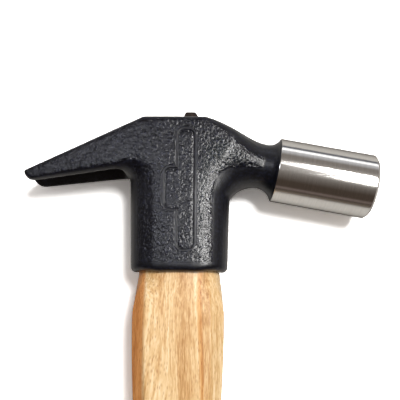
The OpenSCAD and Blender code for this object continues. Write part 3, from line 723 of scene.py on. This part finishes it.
# The handle: one rule gives its section at every height, from the octagon of the grip to the oval
# of the tenon. Knots are (height above the butt, half width, half thickness), in mm
handleSizes = {
    "knots": [(0, 14.4, 11.1), (62, 15.3, 11.7), (187, 12.7, 9.7), (267, 15.9, 11.4)],
    # half width and half thickness of the tenon at the socket's mouth, its waist and its top
    "mouth": (14.37, 10.32), "waist": (10.82, 7.62), "top": (11.52, 8.32), "waistUp": 38.0,
    "corner": 4.7, "runOut": 6.3,  # how far the four slanting flats cut in, on the grip and at the rim
    "ovalPower": 2.3,
    "shortBy": 0.15,  # how far the tenon ends below the CAD's
    "buttChamfer": 1.8,  # the bevel's clamp stops at 0.9, because the blank's faces are so narrow
    "chamferFrom": 60, "sharpFrom": 40,
    "rings": 260, "around": 256,
    "gripSamples": (0, 262, 12), "tenonSamples": (267, 338, 18),  # heights at which the rule is read
    "curveRange": (5.0, 18.0),  # half sizes that a curve's 0 and 1 stand for
}


def easedHalf(height, places, values):
    i = int(np.clip(np.searchsorted(places, height, side="right") - 1, 0, len(places) - 2))
    t = np.clip((height - places[i]) / (places[i + 1] - places[i]), 0, 1)
    return values[i] + (values[i + 1] - values[i]) * t * t * (3 - 2 * t)


# Half width (which is 0) or half thickness (which is 1) at a height above the butt, in mm
def handleHalf(height, which, sizes):
    rim = rimY / mm
    places = [k[0] for k in sizes["knots"]]
    values = [k[which + 1] for k in sizes["knots"]]
    if height <= places[-1]:
        return easedHalf(height, places, values)
    mouth, waist, top = sizes["mouth"][which], sizes["waist"][which], sizes["top"][which]
    if height <= rim:
        share = math.sin(0.5 * math.pi * (rim - height) / (rim - places[-1]))
        return mouth + (values[-1] - mouth) * share
    return easedHalf(height - rim, [0, sizes["waistUp"], (headHigh.y - rimY) / mm], [mouth, waist, top])


# Draws samples of (share of the length, half size) into a curve node
def fillCurve(node, samples, low, high):
    curve = node.mapping.curves[0]
    while len(curve.points) > 2:
        curve.points.remove(curve.points[1])
    curve.points[0].location = (0, (samples[0][1] - low) / (high - low))
    curve.points[1].location = (1, (samples[-1][1] - low) / (high - low))
    for place, value in samples[1:-1]:
        curve.points.new(place, (value - low) / (high - low))
    node.mapping.update()


# A round blank, as long as its radius, whose points are drawn in to the section rule: a box that
# turns into an oval at the socket, cut by four slanting flats that run out at the rim
def handleTree(sizes):
    tree = bpy.data.node_groups.new("handleBlank", "GeometryNodeTree")
    for name in ("Length", "Corner", "Run Out", "Oval Power"):
        tree.interface.new_socket(name=name, in_out="INPUT", socket_type="NodeSocketFloat")
    tree.interface.new_socket(name="Geometry", in_out="OUTPUT", socket_type="NodeSocketGeometry")
    given = addNode(tree, "NodeGroupInput")
    blank = addNode(tree, "GeometryNodeMeshCylinder", {"fill_type": "NGON"}, {
        "Vertices": sizes["around"], "Side Segments": sizes["rings"], "Radius": 1.0, "Depth": 1.0})
    point = addNode(tree, "GeometryNodeInputPosition")
    place = addNode(tree, "ShaderNodeSeparateXYZ", None, {0: point.outputs[0]})
    share = addNode(tree, "ShaderNodeMath", {"operation": "ADD"}, {
        0: place.outputs["Z"], 1: 0.5}).outputs[0]

    total = handleTop / mm - sizes["shortBy"]
    low, high = sizes["curveRange"]
    heights = np.concatenate([np.linspace(*sizes["gripSamples"]), np.linspace(*sizes["tenonSamples"])])
    heights = list(heights[heights < total]) + [total]
    halves = []
    for which in (0, 1):
        curve = addNode(tree, "ShaderNodeFloatCurve", None, {"Value": share})
        fillCurve(curve, [(h / total, handleHalf(h, which, sizes)) for h in heights], low, high)
        halves.append(addNode(tree, "ShaderNodeMath", {"operation": "MULTIPLY_ADD"}, {
            0: curve.outputs[0], 1: (high - low) * mm, 2: low * mm}).outputs[0])

    turnFrom = sizes["knots"][-1][0] / total
    turnTo = rimY / mm / total
    turn = addNode(tree, "ShaderNodeMapRange", {"interpolation_type": "SMOOTHSTEP"}, {
        "Value": share, "From Min": turnFrom, "From Max": turnTo})
    cut = addNode(tree, "ShaderNodeMapRange", None, {
        "Value": share, "From Min": turnFrom, "From Max": turnTo,
        "To Min": given.outputs["Corner"], "To Max": given.outputs["Run Out"]})

    made = {
        "x": place.outputs["X"], "y": place.outputs["Y"], "share": share,
        "width": halves[0], "thick": halves[1], "power": given.outputs["Oval Power"],
        "length": given.outputs["Length"], "turn": turn.outputs["Result"],
        "cut": cut.outputs["Result"]}
    steps = [
        ("sizeX", "ABSOLUTE", "x"), ("sizeY", "ABSOLUTE", "y"),
        ("acrossX", "DIVIDE", "sizeX", "width"), ("acrossY", "DIVIDE", "sizeY", "thick"),
        ("powerX", "POWER", "acrossX", "power"), ("powerY", "POWER", "acrossY", "power"),
        ("powers", "ADD", "powerX", "powerY"), ("root", "DIVIDE", -1.0, "power"),
        ("oval", "POWER", "powers", "root"),
        ("larger", "MAXIMUM", "acrossX", "acrossY"), ("box", "DIVIDE", 1.0, "larger"),
        ("ovalLess", "SUBTRACT", "oval", "box"), ("turned", "MULTIPLY", "turn", "ovalLess"),
        ("section", "ADD", "box", "turned"),
        ("inSocket", "GREATER_THAN", "share", turnTo), ("below", "SUBTRACT", 1.0, "inSocket"),
        ("corner", "MULTIPLY", "cut", "below"), ("both", "ADD", "width", "thick"),
        ("reach", "SUBTRACT", "both", "corner"), ("spread", "ADD", "sizeX", "sizeY"),
        ("slant", "DIVIDE", "reach", "spread"),
        ("radius", "MINIMUM", "section", "slant"),
        ("finalX", "MULTIPLY", "x", "radius"), ("finalY", "MULTIPLY", "share", "length"),
        ("depth", "MULTIPLY", "y", "radius"), ("finalZ", "MULTIPLY", "depth", -1.0),
    ]
    for name, operation, *parts in steps:
        made[name] = addNode(tree, "ShaderNodeMath", {"operation": operation}, {
            i: made.get(part, part) for i, part in enumerate(parts)}).outputs[0]

    final = addNode(tree, "ShaderNodeCombineXYZ", None, {
        "X": made["finalX"], "Y": made["finalY"], "Z": made["finalZ"]})
    moved = addNode(tree, "GeometryNodeSetPosition", None, {
        "Geometry": blank.outputs["Mesh"], "Position": final.outputs[0]})
    whole = addNode(tree, "GeometryNodeRealizeInstances", None, {"Geometry": moved.outputs[0]})
    painted = addNode(tree, "GeometryNodeSetMaterial", None, {
        "Geometry": whole.outputs[0], "Material": paleWood})
    addNode(tree, "NodeGroupOutput", None, {"Geometry": painted.outputs[0]})
    return tree


# The blank, with a chamfer at the butt and a slot for each wedge in its tenon
def makeHandle(sizes):
    blank = nodesMesh("handleBlank", bpy.data.meshes.new("empty"), handleTree(sizes), {
        "Length": handleTop - sizes["shortBy"] * mm, "Corner": sizes["corner"] * mm,
        "Run Out": sizes["runOut"] * mm, "Oval Power": sizes["ovalPower"]})
    obj = workObject("handleWork", blank)
    addBevel(obj, sizes["buttChamfer"] * mm, sizes["chamferFrom"])
    cutters = []
    for name in wedgeFinishes:
        cutter = workObject(name + "Cutter", meshOf(nodeShape(name), name + "Cutter"))
        cutters.append(cutter)
        slotCut = obj.modifiers.new(name, "BOOLEAN")
        slotCut.operation = "DIFFERENCE"
        slotCut.solver = "EXACT"
        slotCut.object = cutter
    mesh = bakedMesh(obj, "handle")
    for work in [obj] + cutters:
        bpy.data.objects.remove(work)
    shadeSmooth(mesh, sizes["sharpFrom"])
    return newPiece("handleWood", mesh, paleWood, "handle")


# The wedges: the CAD's shapes with broken edges, in mm, and the angles in degrees up to which
# faces are one flat, from which an edge is broken, and from which its shading is sharp
wedgeSizes = {"edge": 0.16, "flatTo": 2, "edgeFrom": 20, "sharpFrom": 35}
wedgeFinishes = {
    "timber_wedge": (wedgeWood, "wedge_wood"),
    "steel_wedge_poll_side": (rust, "wedge_steel"),
    "steel_wedge_claw_side": (rust, "wedge_steel"),
}


def makeWedge(name, material, sizes):
    shape = nodeShape(name)
    bmesh.ops.dissolve_limit(
        shape, angle_limit=math.radians(sizes["flatTo"]), verts=shape.verts, edges=shape.edges)
    obj = workObject(name + "Work", meshOf(shape, name))
    addBevel(obj, sizes["edge"] * mm, sizes["edgeFrom"])
    mesh = bakedMesh(obj, name)
    bpy.data.objects.remove(obj)
    shadeSmooth(mesh, sizes["sharpFrom"])
    return newPiece(name + "_look", mesh, material, name)


handlePiece = makeHandle(handleSizes)
print("handle made", len(handlePiece.data.polygons), "faces")
for wedgeName, (finish, finishSlot) in wedgeFinishes.items():
    makeWedge(wedgeName, finish, wedgeSizes)
print("wedges made")


# Camera: above the socket's rim, tipped towards the head's top, as the photograph was taken.
# Places and lens in mm, angles in degrees
cameraSizes = {"x": 7.49, "belowRim": 2.52, "height": 188.47, "tip": 8.83, "lean": 0.433, "lens": 46.35}


def makeCamera(sizes):
    data = bpy.data.cameras.new("camera")
    data.lens = sizes["lens"]
    data.clip_start = 0.01
    camera = bpy.data.objects.new("camera", data)
    scene.collection.objects.link(camera)
    camera.location = (sizes["x"] * mm, rimY - sizes["belowRim"] * mm, sizes["height"] * mm)
    camera.rotation_euler = (math.radians(sizes["tip"]), 0, math.radians(sizes["lean"]))
    scene.camera = camera


# A pale floor under the hammer, which glows a little so that its shadows stay soft
floorLook = {
    "colour": "#a8a6a3",  # as the hammer mirrors it
    "seen": 1.7,  # as the camera sees it, bright enough to turn out white
    "glow": 0.06, "glowColour": "#fdf8f1", "roughness": 0.8,
    "half": 4.0,  # half its side, in metres
}


def makeFloor(look):
    material, tree = newMaterial("paleFloor")
    seenByCamera = addNode(tree, "ShaderNodeLightPath").outputs["Is Camera Ray"]
    colour = addNode(tree, "ShaderNodeMix", {"data_type": "RGBA"}, {
        0: seenByCamera, 6: hexToLinear(look["colour"]), 7: (look["seen"],) * 3 + (1.0,)})
    endMaterial(tree, {
        "Base Color": colour.outputs[2], "Roughness": look["roughness"],
        "Emission Color": hexToLinear(look["glowColour"]), "Emission Strength": look["glow"]})
    half = look["half"]
    z = cadBox[0][2]
    corners = [(-half, -half, z), (half, -half, z), (half, half, z), (-half, half, z)]
    mesh = bpy.data.meshes.new("floor")
    mesh.from_pydata(corners, [], [(0, 1, 2, 3)])
    mesh.materials.append(material)
    floor = bpy.data.objects.new("floor", mesh)
    scene.collection.objects.link(floor)


# Area lights over the head: direction from what they light, distance and size in metres, watts,
# and colour. Those in the reflections light no matt surface, and the soft ones aren't reflected
lightLook = {
    "middle": (10, 25),  # what they light: x, and height above the socket's rim, in mm
    "reflected": {
        "key": ((0.40, 0.18, 0.90), 0.75, (0.30, 0.06), 3.6, "#fffefc"),
        "band": ((0.27, 0.19, 0.94), 0.75, (0.21, 0.06), 0.07, "#fffefc"),
        "side": ((0.48, -0.06, 0.88), 0.75, (0.09, 0.28), 2.7, "#fffefc"),
        "fill": ((-0.46, 0.24, 0.85), 0.80, (0.12, 0.14), 0.27, "#f2f5ff"),
        "strip": ((-0.22, 0.10, 0.97), 0.75, (0.10, 0.40), 0.9, "#f2f5ff"),
    },
    "soft": {
        "shade": ((0.27, 0.22, 0.93), 0.75, (0.18, 0.18), 6.3, "#fffefc"),
        "overhead": ((0.02, 0.10, 1.00), 0.75, (0.90, 0.90), 1.3, "#fffefc"),
    },
}


def makeLights(look):
    x, up = look["middle"]
    middle = Vector((x * mm, rimY + up * mm, 0))
    for group in ("reflected", "soft"):
        for name, (towards, distance, size, watts, colour) in look[group].items():
            data = bpy.data.lights.new(name, "AREA")
            data.shape = "RECTANGLE"
            data.size, data.size_y = size
            data.energy = watts
            data.color = hexToLinear(colour)[:3]
            light = bpy.data.objects.new(name, data)
            scene.collection.objects.link(light)
            light.location = middle + distance * Vector(towards).normalized()
            light.rotation_euler = (middle - light.location).to_track_quat("-Z", "Y").to_euler()
            light.visible_glossy = group == "reflected"
            light.visible_diffuse = group == "soft"


# The room over the table: a plain tone for each part of it, and where the parts begin and end, in
# degrees from the butt's end at -90, over the hammer at 0, to beyond the head at 90. The camera
# sees a plain pale background instead
roomLook = {
    "tones": {
        "table": "#605850", "shade": "#342c26", "shelf": "#544a46", "ceiling": "#645f5b",
        "wall": "#969698", "window": "#f4f4f6", "far": "#505258"},
    "parts": [
        (-90, "table"), (-78, "shade"), (-74, "shelf"), (-69, "shelf"), (-64, "shade"), (-44, "shade"),
        (-4, "ceiling"), (50, "ceiling"), (61, "wall"), (67, "wall"), (71, "window"), (77, "window"),
        (82, "far")],
    "strength": 1.7, "background": "#f3f3f3",
}


def makeRoom(look):
    world = bpy.data.worlds.new("studio")
    scene.world = world
    world.use_nodes = True
    tree = world.node_tree
    tree.nodes.clear()
    direction = addNode(tree, "ShaderNodeSeparateXYZ", None, {
        0: addNode(tree, "ShaderNodeTexCoord").outputs["Generated"]})
    angle = addNode(tree, "ShaderNodeMath", {"operation": "ARCTAN2"}, {
        0: direction.outputs["Y"], 1: direction.outputs["Z"]})
    share = addNode(tree, "ShaderNodeMapRange", None, {
        "Value": angle.outputs[0], "From Min": math.radians(-90), "From Max": math.radians(90)})
    tones = addNode(tree, "ShaderNodeValToRGB", None, {"Fac": share.outputs["Result"]})
    setRamp(tones, [((degrees + 90) / 180, look["tones"][part]) for degrees, part in look["parts"]])
    room = addNode(tree, "ShaderNodeBackground", None, {
        "Color": tones.outputs["Color"], "Strength": look["strength"]})
    plain = addNode(tree, "ShaderNodeBackground", None, {
        "Color": hexToLinear(look["background"]), "Strength": 1.0})
    seenByCamera = addNode(tree, "ShaderNodeLightPath").outputs["Is Camera Ray"]
    mixed = addNode(tree, "ShaderNodeMixShader", None, {
        0: seenByCamera, 1: room.outputs[0], 2: plain.outputs[0]})
    addNode(tree, "ShaderNodeOutputWorld", None, {"Surface": mixed.outputs[0]})


makeCamera(cameraSizes)
makeFloor(floorLook)
makeLights(lightLook)
makeRoom(roomLook)
scene.view_settings.view_transform = "Standard"
print("camera, floor, lights and room set")
